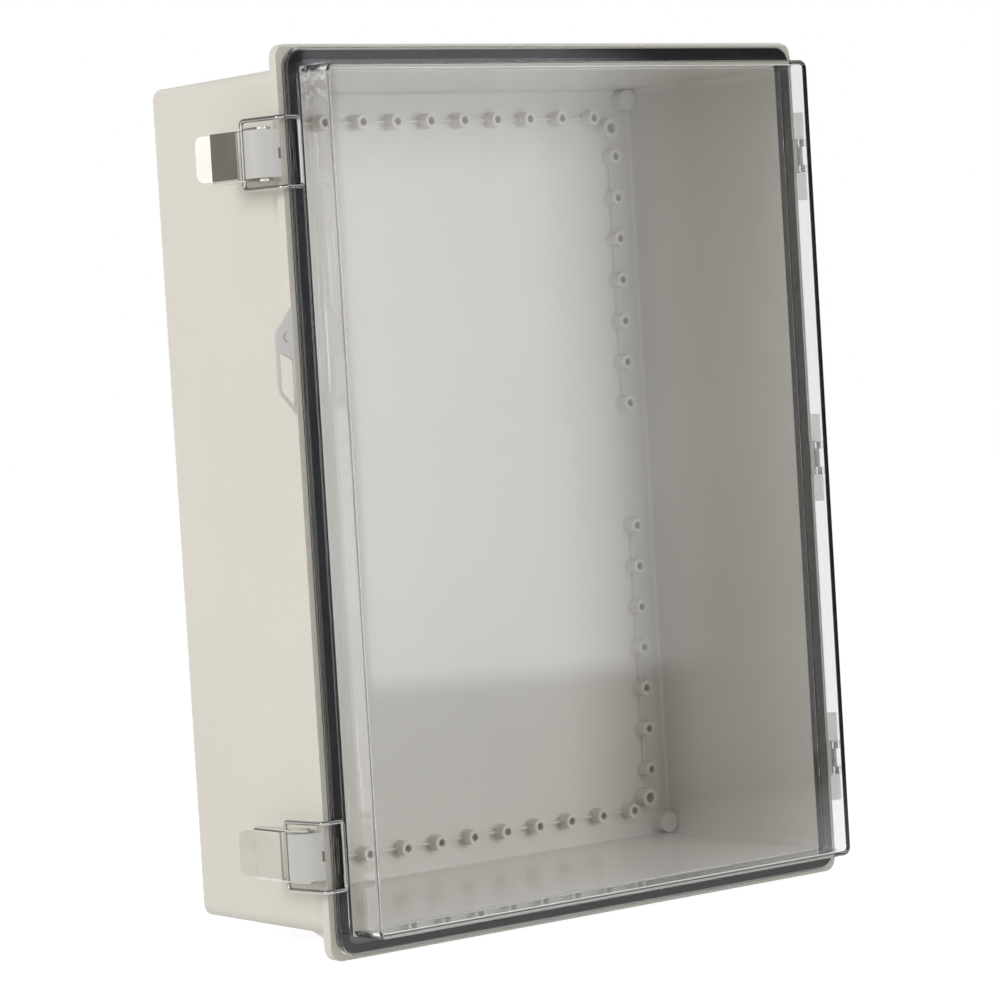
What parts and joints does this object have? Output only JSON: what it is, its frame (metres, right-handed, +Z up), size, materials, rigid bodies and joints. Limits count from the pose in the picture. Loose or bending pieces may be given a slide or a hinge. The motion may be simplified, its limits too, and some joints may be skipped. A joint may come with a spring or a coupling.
{
  "type": "outdoor wall enclosure",
  "caption": "Weatherproof plastic wall enclosure with a clear side-hinged cover, draw latches with wire bails, a padlock lug and rows of screw bosses inside.",
  "frame": {"origin": "centre of the housing's back face, which lies on the wall", "axes": "+X to the hinge side, +Y into the wall, +Z up; the cover faces -Y"},
  "size_m": [0.3205, 0.13, 0.392],
  "materials": {
    "housing_plastic": "moulded warm light grey plastic with a fine satin texture",
    "clear_plastic": "clear moulded plastic, polished",
    "seal_rubber": "soft black seal",
    "latch_steel": "pressed stainless sheet, bright",
    "bail_wire": "drawn stainless wire",
    "pin_steel": "turned steel pin"
  },
  "bodies": {
    "housing": {"base_housing": "housing_plastic", "upper_hinge_pin": "pin_steel", "middle_hinge_pin": "pin_steel", "lower_hinge_pin": "pin_steel", "upper_latch_pin": "pin_steel", "lower_latch_pin": "pin_steel"},
    "cover": {"clear_cover": "clear_plastic", "gasket": "seal_rubber"},
    "upper_lever": {"upper_latch_lever": "latch_steel"},
    "upper_bail": {"upper_latch_bail": "bail_wire"},
    "lower_lever": {"lower_latch_lever": "latch_steel"},
    "lower_bail": {"lower_latch_bail": "bail_wire"}
  },
  "joints": [
    {"name": "cover_hinge", "type": "hinge", "parent": "housing", "child": "cover", "pos_m": [0.154, -0.104, 0], "axis": [0, 0, 1], "range_deg": [0, 180]},
    {"name": "upper_latch_pivot", "type": "hinge", "parent": "housing", "child": "upper_lever", "pos_m": [-0.1525, -0.0995, 0.15], "axis": [0, 0, 1], "range_deg": [0, 135]},
    {"name": "upper_bail_pivot", "type": "hinge", "parent": "upper_lever", "child": "upper_bail", "pos_m": [-0.1563, -0.09, 0.15], "axis": [0, 0, 1], "range_deg": [-170, 0]},
    {"name": "lower_latch_pivot", "type": "hinge", "parent": "housing", "child": "lower_lever", "pos_m": [-0.1525, -0.0995, -0.15], "axis": [0, 0, 1], "range_deg": [0, 135]},
    {"name": "lower_bail_pivot", "type": "hinge", "parent": "lower_lever", "child": "lower_bail", "pos_m": [-0.1563, -0.09, -0.15], "axis": [0, 0, 1], "range_deg": [-170, 0]}
  ],
  "couplings": [
    {"joint": "upper_bail_pivot", "follows": "upper_latch_pivot", "ratio": -1.25},
    {"joint": "lower_bail_pivot", "follows": "lower_latch_pivot", "ratio": -1.25}
  ]
}
